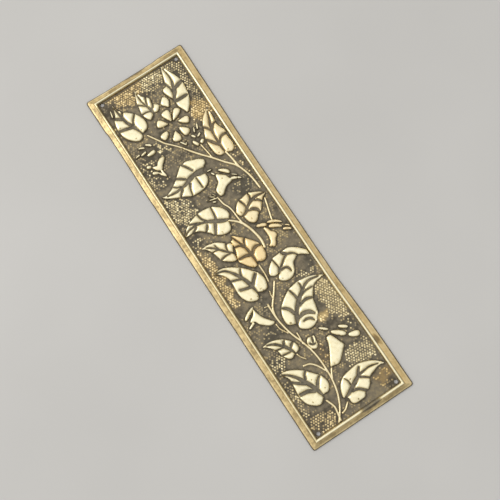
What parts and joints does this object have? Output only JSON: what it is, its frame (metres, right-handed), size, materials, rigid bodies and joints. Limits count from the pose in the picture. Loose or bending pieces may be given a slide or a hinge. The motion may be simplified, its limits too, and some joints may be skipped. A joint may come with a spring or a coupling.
{
  "type": "door finger plate",
  "caption": "Long pressed brass plate with a raised border and a sunk stippled field of trailing leaves and flowers, fixed to a door's lock stile to keep hands off its paint.",
  "frame": {"origin": "middle of the back, on the plane that lies on the door", "axes": "+X across the plate to the right seen from the front, +Y up the door away from the stem's root, +Z out of the decorated face"},
  "size_m": [0.076, 0.275, 0.0028],
  "materials": {
    "brass": "polished relief on a dark aged ground"
  },
  "bodies": {
    "root": {"finger_plate": "brass"}
  },
  "joints": []
}
